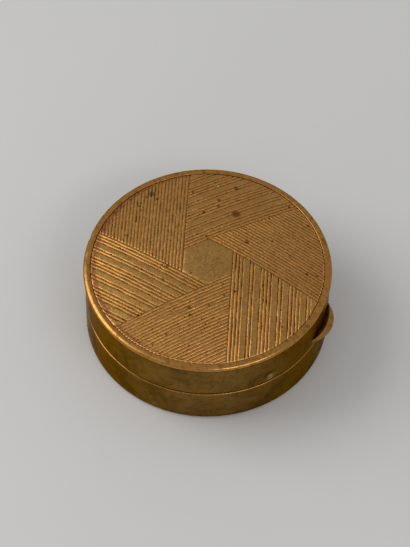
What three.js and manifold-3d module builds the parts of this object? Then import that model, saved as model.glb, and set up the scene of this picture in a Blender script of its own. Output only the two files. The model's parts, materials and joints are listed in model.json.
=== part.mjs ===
// Round powder compact: a hinged gilt-brass case with an engine-turned panel in its lid,
// a mirror behind the panel, and a pan of pressed powder with its puff in the base.
// Millimetres, +Z up, origin at the centre of the resting face.
// The thumb tab points to -Y and the hinge lies at +Y.

import * as THREE from 'three';
import { mergeVertices } from 'three/addons/utils/BufferGeometryUtils.js';
import Module from 'manifold-3d';

const wasm = await Module();
wasm.setup();

// Case
const caseDiameter = 50;        // across the lid's rim
const rimOverhang = 0.3;        // how far the rim stands out past the walls
const rimRadius = 0.5;          // rounding of the rim
const sheet = 0.6;              // thickness of the drawn base and lid
const clearance = 0.3;          // between pieces that fit together
const solderGap = 0.15;         // between pieces that are soldered or glued together
const baseHeight = 8.6;
const baseCornerRadius = 1.2;
const edgeRadius = 0.25;        // rounding of the two edges that meet at the seam
const seamGap = 0.3;            // between the base and the closed lid
const skirtHeight = 8.5;        // from the lid's edge to the widest part of its rim

// Engine-turned panel
const panelDomeRise = 1.95;     // middle of the panel above its edge
const panelEdgeRise = 0.5;      // edge of the panel above the widest part of the rim
const panelThickness = 0.6;
const borderWidth = 1.4;        // rim and flat band round the panel's recess
const hexagonApothem = 5;       // bare middle, from its centre to the first line
const lineDepth = 0.2;
const lineWidth = 0.5;
const firstLineDepth = 0.25;    // the line that parts a field from its neighbours
const densePitch = 0.675;
const groupPitch = 0.7;
const groupGap = 1.5;           // flat band between two groups of lines
const groupCounts = [4, 2];     // lines in the groups, taken in turn
const patternTurn = 16.6;       // direction of the first field's lines, degrees from +X
const fieldCount = 6;

// Collar and hinge
const collarThickness = 0.5;
const collarStand = 3;          // how far the collar stands above the base
const collarFootHeight = 1.9;   // lower edge of the collar
const snapRidge = 0.12;         // how far the snap ridge stands out of the collar
const snapRidgeHeight = 0.8;
const shelfThickness = 0.5;
const knuckleRadius = 0.85;
const pinRadius = 0.3;
const pinClearance = 0.2;
const pinHeadLength = 0.3;      // pin past the outer knuckles
const hingeWidth = 8;
const lidKnuckleWidth = 2.6;
const knuckleGap = 0.2;
const axisInset = 0.4;          // hinge axis inside the outer face of the wall
const leafThickness = 0.45;
const leafHeight = 2.8;

// Thumb tab
const tabWidth = 10.2;
const tabReach = 1.9;
const tabRise = 0.8;            // from the lid's edge to the lower face of the tab
const tabThickness = 1;
const tabBevel = 0.2;

// Mirror
const mirrorThickness = 1.2;
const mirrorCardThickness = 0.5;
const mirrorRingThickness = 0.4;
const mirrorLip = 1.3;          // how far the ring reaches in under the glass

// Powder and puff
const panDepth = 4.4;
const panThickness = 0.4;
const panFlange = 2;
const panRingWidth = 2.2;
const panRingThickness = 0.6;
const cakeHeight = 3.4;
const cakeCrown = 0.2;
const puffThickness = 2.2;
const puffEdgeThickness = 1.3;
const ribbonWidth = 10;
const ribbonThickness = 0.3;
const ribbonInset = 2.5;        // ends of the ribbon inside the edge of the puff

// Fineness of the faceted surfaces
const shellSegments = 64;
const innerSegments = 48;
const knuckleSegments = 16;
const arcSteps = 2;
const edgeSegments = 6;         // curved edges of the leaves and the ribbon
const tabSegments = 20;
const tabBevelSteps = 2;
const fieldSteps = 3;           // straight stretches in an engraved line
const fieldOverlap = 0.04;      // how far neighbouring fields run into each other
const mergeTolerance = 1e-4;
const overcut = 1;              // how far a cutter passes the face that it leaves by

// Radii and heights that follow from the driving dimensions
const caseRadius = caseDiameter / 2;
const wallRadius = caseRadius - rimOverhang;
const wallInside = wallRadius - sheet;
const collarOutside = wallInside - clearance;
const collarInside = collarOutside - collarThickness;
const collarTop = baseHeight + collarStand;
const lidEdge = baseHeight + seamGap;
const rimHeight = lidEdge + skirtHeight;
const recessRadius = caseRadius - borderWidth;
const panelRadius = recessRadius - clearance;
const panelTop = rimHeight + panelEdgeRise + panelDomeRise;
const lidTop = panelTop - panelThickness - clearance;
const lidUnderside = lidTop - sheet;
const hingeY = wallRadius - axisInset;
const hingeZ = baseHeight + seamGap / 2;
const hingeRoom = knuckleRadius + clearance;
const leafOutside = wallInside - solderGap;
const fieldAngle = (2 * Math.PI) / fieldCount;
const outermostLine = panelRadius - lineWidth;

// Depth of the panel's dome below its middle, at a distance from the axis
function domeDrop(radius) {
  return panelDomeRise * (radius / panelRadius) ** 2;
}

// The dome of the panel as a stretch of an outline, out from the axis or back to it
function domeOut(outline, height, radius) {
  outline.quadraticCurveTo(radius / 2, height, radius, height - domeDrop(radius));
}

function domeIn(outline, height, radius) {
  outline.quadraticCurveTo(radius / 2, height, 0, height);
}

// A turned solid: an outline of radius and height, swept round the vertical axis
function turned(outline, segments = innerSegments) {
  const geometry = new THREE.LatheGeometry(outline.getPoints(arcSteps), segments);
  return geometry.rotateX(Math.PI / 2);
}

// A turned ring of rectangular section
function turnedRing(inside, outside, bottom, top, segments = innerSegments) {
  const outline = new THREE.Path();
  outline.moveTo(inside, bottom);
  outline.lineTo(outside, bottom);
  outline.lineTo(outside, top);
  outline.lineTo(inside, top);
  outline.lineTo(inside, bottom);
  return turned(outline, segments);
}

// A turned disc
function turnedDisc(radius, bottom, top, segments = innerSegments) {
  const outline = new THREE.Path();
  outline.moveTo(0, bottom);
  outline.lineTo(radius, bottom);
  outline.lineTo(radius, top);
  outline.lineTo(0, top);
  return turned(outline, segments);
}

// A round bar along the hinge's axis
function hingeBar(radius, from, to) {
  const bar = new THREE.CylinderGeometry(radius, radius, to - from, knuckleSegments);
  bar.rotateZ(Math.PI / 2);
  return bar.translate((from + to) / 2, hingeY, hingeZ);
}

// A box between two corners
function blockBetween(low, high) {
  const size = high.clone().sub(low);
  const centre = high.clone().add(low).divideScalar(2);
  const block = new THREE.BoxGeometry(size.x, size.y, size.z);
  return block.translate(centre.x, centre.y, centre.z);
}

// Geometry to a solid that can be cut and joined, and back
function toSolid(geometry) {
  const bare = geometry.clone();
  bare.deleteAttribute('normal');
  bare.deleteAttribute('uv');
  const merged = mergeVertices(bare, mergeTolerance);
  const corners = merged.index.array;
  const triangles = [];
  for (let i = 0; i < corners.length; i += 3) {
    const triangle = [corners[i], corners[i + 1], corners[i + 2]];
    if (new Set(triangle).size === 3) {
      triangles.push(...triangle);
    }
  }
  return new wasm.Manifold(new wasm.Mesh({
    numProp: 3,
    vertProperties: new Float32Array(merged.attributes.position.array),
    triVerts: new Uint32Array(triangles),
  }));
}

function toGeometry(solid) {
  const mesh = solid.getMesh();
  const geometry = new THREE.BufferGeometry();
  geometry.setAttribute('position', new THREE.BufferAttribute(mesh.vertProperties, 3));
  geometry.setIndex(new THREE.BufferAttribute(mesh.triVerts, 1));
  geometry.computeVertexNormals();
  return geometry;
}

function cut(geometry, ...cutters) {
  return toGeometry(cutters.reduce((solid, cutter) => solid.subtract(toSolid(cutter)), toSolid(geometry)));
}

function common(geometry, other) {
  return toGeometry(toSolid(geometry).intersect(toSolid(other)));
}

function join(geometry, ...others) {
  return toGeometry(others.reduce((solid, other) => solid.add(toSolid(other)), toSolid(geometry)));
}

// Room for the hinge in the back wall of a piece, between two heights
function hingeNotch(bottom, top) {
  const side = hingeWidth / 2 + pinHeadLength + clearance;
  const inner = Math.sqrt(collarInside ** 2 - side ** 2) - clearance;
  const low = new THREE.Vector3(-side, inner, bottom);
  const high = new THREE.Vector3(side, caseRadius + overcut, top);
  return blockBetween(low, high);
}

// Base: a drawn cup with a rounded foot and a rounded upper edge
function baseShell() {
  const insideCorner = baseCornerRadius;
  const outline = new THREE.Path();
  outline.moveTo(0, 0);
  outline.lineTo(wallRadius - baseCornerRadius, 0);
  outline.absarc(wallRadius - baseCornerRadius, baseCornerRadius, baseCornerRadius, -Math.PI / 2, 0);
  outline.lineTo(wallRadius, baseHeight - edgeRadius);
  outline.lineTo(wallRadius - edgeRadius, baseHeight);
  outline.lineTo(wallInside, baseHeight);
  outline.lineTo(wallInside, sheet + insideCorner);
  outline.lineTo(wallInside - insideCorner, sheet);
  outline.lineTo(0, sheet);
  return cut(turned(outline, shellSegments), hingeNotch(hingeZ - hingeRoom, baseHeight + overcut));
}

// Collar that the lid closes over, with a snap ridge outside and a shelf for the pan inside
function baseCollar() {
  const ridgeMiddle = (baseHeight + collarTop) / 2;
  const shelfTop = panFlangeUnderside - clearance;
  const shelfBottom = shelfTop - shelfThickness;
  const outline = new THREE.Path();
  outline.moveTo(collarInside, collarFootHeight);
  outline.lineTo(collarOutside, collarFootHeight);
  outline.lineTo(collarOutside, ridgeMiddle - snapRidgeHeight / 2);
  outline.lineTo(collarOutside + snapRidge, ridgeMiddle);
  outline.lineTo(collarOutside, ridgeMiddle + snapRidgeHeight / 2);
  outline.lineTo(collarOutside, collarTop - edgeRadius);
  outline.lineTo(collarOutside - edgeRadius, collarTop);
  outline.lineTo(collarInside, collarTop);
  outline.lineTo(collarInside, shelfTop);
  outline.lineTo(panOutside + clearance, shelfTop);
  outline.lineTo(panOutside + clearance, shelfBottom);
  outline.lineTo(collarInside, shelfBottom);
  outline.lineTo(collarInside, collarFootHeight);
  return cut(turned(outline), hingeNotch(hingeZ - leafHeight - clearance, collarTop + overcut));
}

// Pan of pressed powder, its powder and the ring that keeps it on the shelf
const panRingOutside = collarInside - clearance;
const panFlangeOutside = panRingOutside;
const panOutside = panFlangeOutside - panFlange;
const panInside = panOutside - panThickness;
const panBottom = sheet + clearance;
const panFlangeUnderside = panBottom + panDepth;
const panRingBottom = panFlangeUnderside + panThickness + clearance;
const cakeRadius = panInside - clearance;
const cakeBottom = panBottom + panThickness + clearance;
const cakeTop = cakeBottom + cakeHeight;

function powderPan() {
  const flangeTop = panFlangeUnderside + panThickness;
  const outline = new THREE.Path();
  outline.moveTo(0, panBottom);
  outline.lineTo(panOutside, panBottom);
  outline.lineTo(panOutside, panFlangeUnderside);
  outline.lineTo(panFlangeOutside, panFlangeUnderside);
  outline.lineTo(panFlangeOutside, flangeTop);
  outline.lineTo(panInside, flangeTop);
  outline.lineTo(panInside, panBottom + panThickness);
  outline.lineTo(0, panBottom + panThickness);
  return turned(outline);
}

function powderCake() {
  const edge = cakeTop - cakeCrown;
  const outline = new THREE.Path();
  outline.moveTo(0, cakeBottom);
  outline.lineTo(cakeRadius, cakeBottom);
  outline.lineTo(cakeRadius, edge);
  outline.quadraticCurveTo(cakeRadius / 2, cakeTop, 0, cakeTop);
  return turned(outline);
}

function panRing() {
  const inside = panRingOutside - panRingWidth;
  return turnedRing(inside, panRingOutside, panRingBottom, panRingBottom + panRingThickness);
}

// Puff: a velour pad with a crown above and drawn-in sides, and a ribbon across its top
const puffRadius = panRingOutside - panRingWidth - clearance;
const puffBottom = cakeTop + clearance;
const puffTop = puffBottom + puffThickness;
const puffShoulder = puffBottom + puffEdgeThickness;

function puffPad() {
  const flat = puffRadius - puffEdgeThickness;
  const outline = new THREE.Path();
  outline.moveTo(0, puffBottom);
  outline.lineTo(flat, puffBottom);
  outline.quadraticCurveTo(puffRadius, puffBottom, puffRadius, puffBottom + puffEdgeThickness / 2);
  outline.quadraticCurveTo(puffRadius, puffShoulder, flat, puffShoulder);
  outline.quadraticCurveTo(flat / 2, puffTop, 0, puffTop);
  return turned(outline);
}

function puffRibbon() {
  const end = puffRadius - puffEdgeThickness - ribbonInset;
  const low = puffTop + solderGap;
  const shape = new THREE.Shape();
  shape.moveTo(-end, puffShoulder + clearance);
  shape.quadraticCurveTo(-end / 2, low, 0, low);
  shape.quadraticCurveTo(end / 2, low, end, puffShoulder + clearance);
  shape.lineTo(end, puffShoulder + clearance + ribbonThickness);
  shape.quadraticCurveTo(end / 2, low + ribbonThickness, 0, low + ribbonThickness);
  shape.quadraticCurveTo(-end / 2, low + ribbonThickness, -end, puffShoulder + clearance + ribbonThickness);
  const ribbon = new THREE.ExtrudeGeometry(shape, {
    depth: ribbonWidth,
    curveSegments: edgeSegments,
    bevelEnabled: false,
  });
  ribbon.rotateX(Math.PI / 2);
  return ribbon.translate(0, ribbonWidth / 2, 0);
}

// Hinge: a leaf inside each wall, with knuckles that share one pin
function hingeLeaf(bottom, knuckles, room) {
  const halfAngle = Math.asin(hingeWidth / 2 / leafOutside);
  const from = Math.PI / 2 - halfAngle;
  const to = Math.PI / 2 + halfAngle;
  const shape = new THREE.Shape();
  shape.absarc(0, 0, leafOutside, from, to, false);
  shape.absarc(0, 0, leafOutside - leafThickness, to, from, true);
  const plate = new THREE.ExtrudeGeometry(shape, {
    depth: leafHeight,
    curveSegments: edgeSegments,
    bevelEnabled: false,
  });
  plate.translate(0, 0, bottom);
  const cleared = cut(plate, ...room.map(([low, high]) => hingeBar(hingeRoom, low, high)));
  const leaf = join(cleared, ...knuckles.map(([low, high]) => hingeBar(knuckleRadius, low, high)));
  return cut(leaf, hingeBar(pinRadius + pinClearance, -hingeWidth, hingeWidth));
}

const lidKnuckle = [-lidKnuckleWidth / 2, lidKnuckleWidth / 2];
const baseKnuckleStart = lidKnuckleWidth / 2 + knuckleGap;
const baseKnuckles = [[-hingeWidth / 2, -baseKnuckleStart], [baseKnuckleStart, hingeWidth / 2]];

function baseHingeLeaf() {
  return hingeLeaf(hingeZ - leafHeight, baseKnuckles, [[-baseKnuckleStart, baseKnuckleStart]]);
}

function lidHingeLeaf() {
  const left = [-hingeWidth, lidKnuckle[0]];
  const right = [lidKnuckle[1], hingeWidth];
  return hingeLeaf(hingeZ, [lidKnuckle], [left, right]);
}

function hingePin() {
  const end = hingeWidth / 2 + pinHeadLength;
  return hingeBar(pinRadius, -end, end);
}

// Lid: a drawn cup with a rounded rim and a flat band round a domed recess for the panel
function lidShell() {
  const rimCircle = caseRadius - rimRadius;
  const rimMeetsWall = Math.acos((wallRadius - rimCircle) / rimRadius);
  const outline = new THREE.Path();
  outline.moveTo(0, lidUnderside);
  domeOut(outline, lidUnderside, wallInside);
  outline.lineTo(wallInside, lidEdge);
  outline.lineTo(wallRadius - edgeRadius, lidEdge);
  outline.lineTo(wallRadius, lidEdge + edgeRadius);
  outline.absarc(rimCircle, rimHeight, rimRadius, -rimMeetsWall, 0);
  outline.absarc(rimCircle, rimHeight, rimRadius, 0, Math.PI / 2);
  outline.lineTo(recessRadius, rimHeight + rimRadius);
  outline.lineTo(recessRadius, lidTop - domeDrop(recessRadius));
  domeIn(outline, lidTop, recessRadius);
  return cut(turned(outline, shellSegments), hingeNotch(lidEdge - overcut, hingeZ + hingeRoom));
}

// Distances of a field's lines from the middle: evenly spaced, or in groups with flat bands between
function denseOffsets() {
  const offsets = [];
  for (let offset = hexagonApothem; offset < outermostLine; offset += densePitch) {
    offsets.push(offset);
  }
  return offsets;
}

function groupedOffsets() {
  const offsets = [];
  let offset = hexagonApothem;
  for (let group = 0; offset < outermostLine; group += 1) {
    const count = groupCounts[group % groupCounts.length];
    for (let line = 0; line < count; line += 1) {
      offsets.push(offset);
      offset += groupPitch;
    }
    offset += groupGap - groupPitch;
  }
  return offsets.filter((line) => line < outermostLine);
}

// Section of a field square to its lines: V-shaped lines above, the plain dome below
function fieldSection(offsets, reach) {
  const inner = hexagonApothem - lineWidth;
  const middle = (inner + reach) / 2;
  const section = new THREE.Shape();
  section.moveTo(inner, -domeDrop(inner) - panelThickness);
  section.lineTo(middle, -domeDrop(middle) - panelThickness);
  section.lineTo(reach, -domeDrop(reach) - panelThickness);
  section.lineTo(reach, -domeDrop(reach));
  for (const across of offsets.toReversed()) {
    const depth = across === hexagonApothem ? firstLineDepth : lineDepth;
    section.lineTo(across + lineWidth / 2, -domeDrop(across + lineWidth / 2));
    section.lineTo(across, -domeDrop(across) - depth);
    section.lineTo(across - lineWidth / 2, -domeDrop(across - lineWidth / 2));
  }
  section.lineTo(inner, -domeDrop(inner));
  return section;
}

// One field, its lines along +X: the section drawn along the lines, bent to the dome and
// trimmed to the wedge between its own first line and the next field's
function lineField(offsets) {
  const reach = panelRadius + overcut;
  const start = -hexagonApothem;
  const field = new THREE.ExtrudeGeometry(fieldSection(offsets, reach), {
    depth: reach - start,
    steps: fieldSteps,
    bevelEnabled: false,
  });
  const position = field.attributes.position;
  for (let i = 0; i < position.count; i += 1) {
    const x = start + position.getZ(i);
    position.setXYZ(i, x, position.getX(i), panelTop + position.getY(i) - domeDrop(x));
  }
  const along = new THREE.Vector2(1, 0);
  const next = new THREE.Vector2(Math.cos(fieldAngle), Math.sin(fieldAngle));
  const apex = new THREE.Vector2(-hexagonApothem * Math.tan(fieldAngle / 2), hexagonApothem);
  apex.addScaledVector(along, -fieldOverlap).addScaledVector(next, -fieldOverlap);
  const side = 2 * reach;
  const far = apex.clone().addScaledVector(along, side);
  const wedge = new THREE.Shape([
    apex,
    far,
    far.clone().addScaledVector(next, side),
    apex.clone().addScaledVector(next, side),
  ]);
  const prism = new THREE.ExtrudeGeometry(wedge, { depth: panelTop, bevelEnabled: false });
  return common(field, prism);
}

// Engine-turned panel, a domed disc set in the lid's recess: six fields of lines, dense and
// grouped in turn, that wheel round a bare hexagon
function lidPanel() {
  const corner = (hexagonApothem + fieldOverlap) / Math.cos(fieldAngle / 2);
  const outline = new THREE.Path();
  outline.moveTo(0, panelTop - panelThickness);
  outline.lineTo(corner, panelTop - panelThickness - domeDrop(corner));
  outline.lineTo(corner, panelTop - domeDrop(corner));
  outline.lineTo(0, panelTop);
  const hexagon = turned(outline, fieldCount).rotateZ(fieldAngle / 2);
  const fields = [];
  for (let i = 0; i < fieldCount; i += 1) {
    const field = lineField(i % 2 === 0 ? denseOffsets() : groupedOffsets());
    fields.push(field.rotateZ(i * fieldAngle));
  }
  const whole = join(hexagon, ...fields);
  const disc = turnedDisc(panelRadius, rimHeight - panelDomeRise, panelTop + overcut, shellSegments);
  return common(whole, disc).rotateZ(THREE.MathUtils.degToRad(patternTurn));
}

// Thumb tab: a half-moon low on the lid's wall, hollowed to the curve of the wall
function thumbTab() {
  const seat = wallRadius + solderGap;
  const halfWidth = tabWidth / 2;
  const tip = seat + tabReach;
  const moonHeight = tip - Math.sqrt(seat ** 2 - halfWidth ** 2);
  const moonRadius = (halfWidth ** 2 + moonHeight ** 2) / (2 * moonHeight) - tabBevel;
  const moon = new THREE.Shape();
  moon.absarc(0, -tip + moonRadius + tabBevel, moonRadius, 0, 2 * Math.PI);
  const disc = new THREE.ExtrudeGeometry(moon, {
    depth: tabThickness - 2 * tabBevel,
    bevelSize: tabBevel,
    bevelThickness: tabBevel,
    bevelSegments: tabBevelSteps,
    curveSegments: tabSegments,
  });
  const bottom = lidEdge + tabRise;
  disc.translate(0, 0, bottom + tabBevel);
  return cut(disc, turnedDisc(seat, bottom - overcut, bottom + tabThickness + overcut));
}

// Mirror: glass and its backing card, held in the lid by a ring with a lip
const mirrorRingOutside = wallInside - clearance;
const mirrorRingInside = mirrorRingOutside - mirrorRingThickness;
const mirrorRadius = mirrorRingInside - clearance;
const cardTop = lidUnderside - domeDrop(wallInside) - clearance;
const cardBottom = cardTop - mirrorCardThickness;
const glassTop = cardBottom - solderGap;
const glassBottom = glassTop - mirrorThickness;
const lipTop = glassBottom - solderGap;
const lipBottom = lipTop - mirrorRingThickness;

function mirrorBacking() {
  return turnedDisc(mirrorRadius, cardBottom, cardTop);
}

function mirrorGlass() {
  return turnedDisc(mirrorRadius, glassBottom, glassTop);
}

function mirrorRing() {
  const lipInside = mirrorRingInside - mirrorLip;
  const outline = new THREE.Path();
  outline.moveTo(lipInside, lipBottom);
  outline.lineTo(mirrorRingOutside, lipBottom);
  outline.lineTo(mirrorRingOutside, cardTop);
  outline.lineTo(mirrorRingInside, cardTop);
  outline.lineTo(mirrorRingInside, lipTop);
  outline.lineTo(lipInside, lipTop);
  outline.lineTo(lipInside, lipBottom);
  return turned(outline);
}

// Finishes
const gilt = { color: 0xa87c3c, roughness: 0.38, metalness: 1 };
const giltInside = { color: 0xb08a48, roughness: 0.3, metalness: 1 };
const brass = { color: 0x96703a, roughness: 0.35, metalness: 1 };
const tin = { color: 0xb9b4a8, roughness: 0.4, metalness: 1 };
const silvered = { color: 0xd8dde0, roughness: 0.03, metalness: 1 };
const card = { color: 0x8a7a62, roughness: 0.95, metalness: 0 };
const powder = { color: 0xd9ab88, roughness: 1, metalness: 0 };
const velour = { color: 0xe2c0a4, roughness: 1, metalness: 0 };
const satin = { color: 0xd9a58e, roughness: 0.5, metalness: 0 };

function piece(name, geometry, finish) {
  const mesh = new THREE.Mesh(geometry, new THREE.MeshStandardMaterial(finish));
  mesh.name = name;
  return mesh;
}

const base = new THREE.Group();
base.add(piece('base_shell', baseShell(), gilt));
base.add(piece('base_collar', baseCollar(), giltInside));
base.add(piece('powder_pan', powderPan(), tin));
base.add(piece('powder_cake', powderCake(), powder));
base.add(piece('pan_ring', panRing(), giltInside));
base.add(piece('puff_pad', puffPad(), velour));
base.add(piece('puff_ribbon', puffRibbon(), satin));
base.add(piece('base_hinge_leaf', baseHingeLeaf(), brass));
base.add(piece('hinge_pin', hingePin(), brass));

const lid = new THREE.Group();
lid.add(piece('lid_shell', lidShell(), gilt));
lid.add(piece('lid_panel', lidPanel(), gilt));
lid.add(piece('thumb_tab', thumbTab(), gilt));
lid.add(piece('lid_hinge_leaf', lidHingeLeaf(), brass));
lid.add(piece('mirror_backing', mirrorBacking(), card));
lid.add(piece('mirror_glass', mirrorGlass(), silvered));
lid.add(piece('mirror_ring', mirrorRing(), giltInside));

const compact = new THREE.Group();
compact.add(base, lid);

export default compact;
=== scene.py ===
"""Looks of a round powder compact: an engine-turned gilt-brass case with a mirror, a powder pan and a puff.

Outlines are written in millimetres and meshes are made in metres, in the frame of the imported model.
"""

import json
import math

import bmesh
import bpy
import numpy as np
from mathutils import Matrix, Vector, noise
from mathutils.bvhtree import BVHTree


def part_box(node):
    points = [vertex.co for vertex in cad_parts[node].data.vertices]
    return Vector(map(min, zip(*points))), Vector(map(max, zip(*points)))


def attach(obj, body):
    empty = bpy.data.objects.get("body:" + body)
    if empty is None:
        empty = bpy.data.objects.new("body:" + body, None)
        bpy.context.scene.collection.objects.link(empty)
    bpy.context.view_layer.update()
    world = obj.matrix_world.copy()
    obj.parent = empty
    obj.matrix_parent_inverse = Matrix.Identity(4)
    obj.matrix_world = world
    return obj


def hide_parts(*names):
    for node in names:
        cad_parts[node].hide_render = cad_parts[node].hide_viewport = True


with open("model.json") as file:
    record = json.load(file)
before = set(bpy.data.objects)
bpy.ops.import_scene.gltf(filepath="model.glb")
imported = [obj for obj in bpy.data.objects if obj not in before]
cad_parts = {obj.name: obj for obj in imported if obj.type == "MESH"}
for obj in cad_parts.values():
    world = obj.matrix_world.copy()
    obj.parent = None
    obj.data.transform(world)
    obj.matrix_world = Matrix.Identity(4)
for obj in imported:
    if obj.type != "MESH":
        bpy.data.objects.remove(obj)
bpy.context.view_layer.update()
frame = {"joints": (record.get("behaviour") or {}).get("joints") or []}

MM = 0.001


def corners(node):
    """Lowest and highest corner of a CAD node, in millimetres."""
    low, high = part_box(node)
    return low / MM, high / MM


# Photograph and camera
PHOTO_WIDTH, PHOTO_HEIGHT = 410, 547
RIM_MIDDLE_PIXEL = (207.6, 268.0)  # middle of the rim's circle in the photograph
PIXELS_PER_MM = 4.977  # at the middle of the rim
CAMERA_AZIMUTH, CAMERA_ELEVATION, CAMERA_ROLL = -70.8, 54.33, 0.85
CAMERA_DISTANCE = 600
AIM_HEIGHT = 17.4  # height of the rim's widest circle above the floor
SENSOR_WIDTH = 36
CLIP_START, CLIP_END = 0.01, 10  # in metres
RAY_PASSES = 6  # to find the point of the dome that a pixel shows

# Stage, in metres
FLOOR_REACH = 1.5
FLOOR_HEIGHT = -2e-5  # just under the case
WORLD_GREY = 0.4
LIGHT_DISTANCE = 0.6
# Azimuth past the camera's, elevation, width, height and radiance
LIGHTS = {"light_left": (-102, 40, 0.45, 0.45, 2.3), "light_right": (32, 48, 0.32, 0.12, 3.4)}

# Roundings of small corners
FINE, SMALL, MEDIUM, SOFT, BROAD = 0.1, 0.15, 0.2, 0.25, 0.3

# Case, as packed
base_high = corners("base_shell")[1]
lid_low, lid_high = corners("lid_shell")
WALL, BASE_TOP = base_high.x, base_high.z
RIM, LID_TOP = lid_high.x, lid_high.z
LID_EDGE = lid_low.z
SHEET = 0.6
CLEARANCE = 0.3
BORDER = 1.4
WALL_INSIDE = WALL - SHEET
RECESS = RIM - BORDER
RECESS_ROUNDING = 0.14
RIM_RADIUS = 0.65  # upwards; the rim is flatter across
RIM_FLATNESS = 1.5
EDGE_RADIUS = 0.25
FOOT_RADIUS = 1.2
BASE_INNER_ROUNDING = 0.12
WAVINESS, WAVE_LENGTH = 0.035, 6  # of the drawn walls
BASE_WAVE_SHIFT = 40  # gives the base other waves than the lid
CUT_MARGIN = 1  # a cutter reaches this far past what it cuts

# Engine-turned panel
PANEL = RECESS - CLEARANCE
PANEL_EDGE = RECESS - 0.03  # the real disc is pressed into its recess
PANEL_TOP = corners("lid_panel")[1].z
PANEL_THICKNESS = 0.6
PANEL_EDGE_RADIUS = 0.3
DOME_RISE = 1.95
BAND_HEIGHT = PANEL_TOP - DOME_RISE
RIM_HEIGHT = BAND_HEIGHT - RIM_RADIUS
FIELDS = 6
FIELD_ANGLE = math.tau / FIELDS
PATTERN_TURN = math.radians(16.6)
APOTHEM = 5.0
LINE_WIDTH = 0.45
LINE_ROUNDNESS = 0.6  # share of a line's section that is round, the rest being a V
DENSE_DEPTH = 0.125
GROUPED_DEPTH = 0.16
FIRST_LINE_DEPTH = 0.15
LAND_MARGIN = 0.1  # from a line to the flat band beside it
DENSE_PITCH = 0.675
GROUP_PITCH = 0.7
GROUP_GAP = 1.5
GROUP_COUNTS = (4, 2)
LINE_WOBBLE, WOBBLE_LENGTH = 0.05, 2.5
WOBBLE_FADE = 0.6  # from the ends of a line
WOBBLE_SEEDS = (7, 31)  # steps in the noise from line to line and from field to field
# Unevenness of a line's depth: share of the depth, length of the waves and steps in the noise
DEPTH_WAVES = ((0.6, 2.5, 5, 17), (0.3, 0.9, 5, 23))
RUN_IN_SLOPE = 0.5  # a line deepens by this from the border of its field
SAME_PLACE = 1e-5  # points closer than this are one point
# The pale brink along the panel's rounded edge is partly rubbed gilding and partly a painted highlight
BRINK_REACH = PANEL_EDGE_RADIUS + 0.05
BRINK_FADE = 0.15
# Dirt inside the panel's edge: share in the photograph's middle, its rise to the left, reach, and fading
EDGE_DIRT, EDGE_DIRT_RISE = 0.3, 0.8
EDGE_DIRT_REACH, EDGE_DIRT_MORE, EDGE_DIRT_FADE = 0.4, 0.9, 0.35

# Wear that the photograph shows on the panel: pixel and radius in millimetres
DARK_SPOTS = [((152, 194), 0.75), ((157, 199), 0.4), ((147, 197), 0.35), ((139, 206), 0.35),
              ((136, 221), 0.3), ((126, 235), 0.3), ((236, 188), 0.6), ((219, 200), 0.4), ((218, 206), 0.35),
              ((204, 212), 0.4), ((193, 192), 0.35), ((269, 188), 0.3), ((289, 207), 0.3), ((308, 226), 0.4),
              ((247, 242), 0.5), ((272, 241), 0.3), ((290, 256), 0.3), ((307, 274), 0.35), ((317, 276), 0.3),
              ((207, 236), 0.3), ((191, 273), 0.3), ((167, 266), 0.35), ((163, 279), 0.3), ((263, 285), 0.35),
              ((235, 291), 0.35), ((224, 295), 0.3), ((209, 305), 0.3), ((189, 307), 0.5), ((190, 315), 0.4),
              ((166, 334), 0.35), ((152, 344), 0.3), ((138, 315), 0.3), ((282, 327), 0.35)]
DIRTY_LINES = [((154, 193), 1.7), ((141, 203), 1.4), ((138, 217), 1.1), ((157, 230), 0.8), ((179, 234), 0.7)]
RED_SPOTS = [((236, 214), 1.05)]
PALE_SPOTS = [((218, 186), 0.25)]
COPPER_PATCHES = [((228, 200), 8), ((215, 345), 6), ((135, 225), 5), ((300, 255), 6)]

# Wear that the photograph shows on the lid's wall and rim
DENT_ANGLE = math.radians(-129.5)
DENT_HEIGHT = LID_EDGE + 1.7
DENT_RADIUS = 1.5
DENT_DEPTH = 0.45
# The pale scuffs at the dent and the nick are bare gilding and also painted glints
SCUFF_BELOW_DENT = 0.7
SCUFF_RADIUS = 0.8
NICK_ANGLE = math.radians(93)
NICK_WIDTH = 0.9
NICK_DEPTH = 0.14
HANDLED_ABOVE = RIM_HEIGHT - 0.4
HANDLED_FADE = 0.5

# Hinge
HINGE_Y, HINGE_Z = (x / MM for x in frame["joints"][0]["pos_m"][1:])
HINGE_WIDTH = 8
KNUCKLE_RADIUS = 0.85
KNUCKLE_BORE = 0.5
KNUCKLE_CHAMFER = 0.08
LID_KNUCKLE = 2.6
KNUCKLE_GAP = 0.2
HINGE_ROOM = KNUCKLE_RADIUS + CLEARANCE
PIN_RADIUS = 0.3
PIN_HEAD = 0.3
LEAF_OUTSIDE = WALL_INSIDE - 0.15
LEAF_THICKNESS = 0.45
LEAF_HEIGHT = 2.8
LEAF_WEAR = 0.2  # how rubbed the leaves are
NOTCH_SIDE = HINGE_WIDTH / 2 + PIN_HEAD + CLEARANCE

# Thumb tab
tab_low, tab_high = corners("thumb_tab")
TAB_SEAT = WALL - 0.1  # soldered to the wall
TAB_REACH = 0.998  # share of the way to the tab's tips that its sections take
# Share of the way from the wall to the outer edge, and height as a share of the tab's thickness
TAB_SECTION = [(0, 0.02), (0.5, 0), (0.85, 0.03), (0.96, 0.12), (1, 0.34), (0.985, 0.5), (0.95, 0.62),
               (0.88, 0.73), (0.78, 0.83), (0.66, 0.92), (0.55, 0.98), (0.45, 1), (0.36, 0.97), (0.26, 0.87),
               (0.14, 0.74), (0, 0.66)]
TAB_LIP, TAB_LIP_WEAR = 0.35, 0.9  # outside this share the lip is rubbed
TAB_SEAM, TAB_SEAM_WEAR = 0.05, -0.6  # inside this one it is dirty
TAB_WEAR = 0.1

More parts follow.
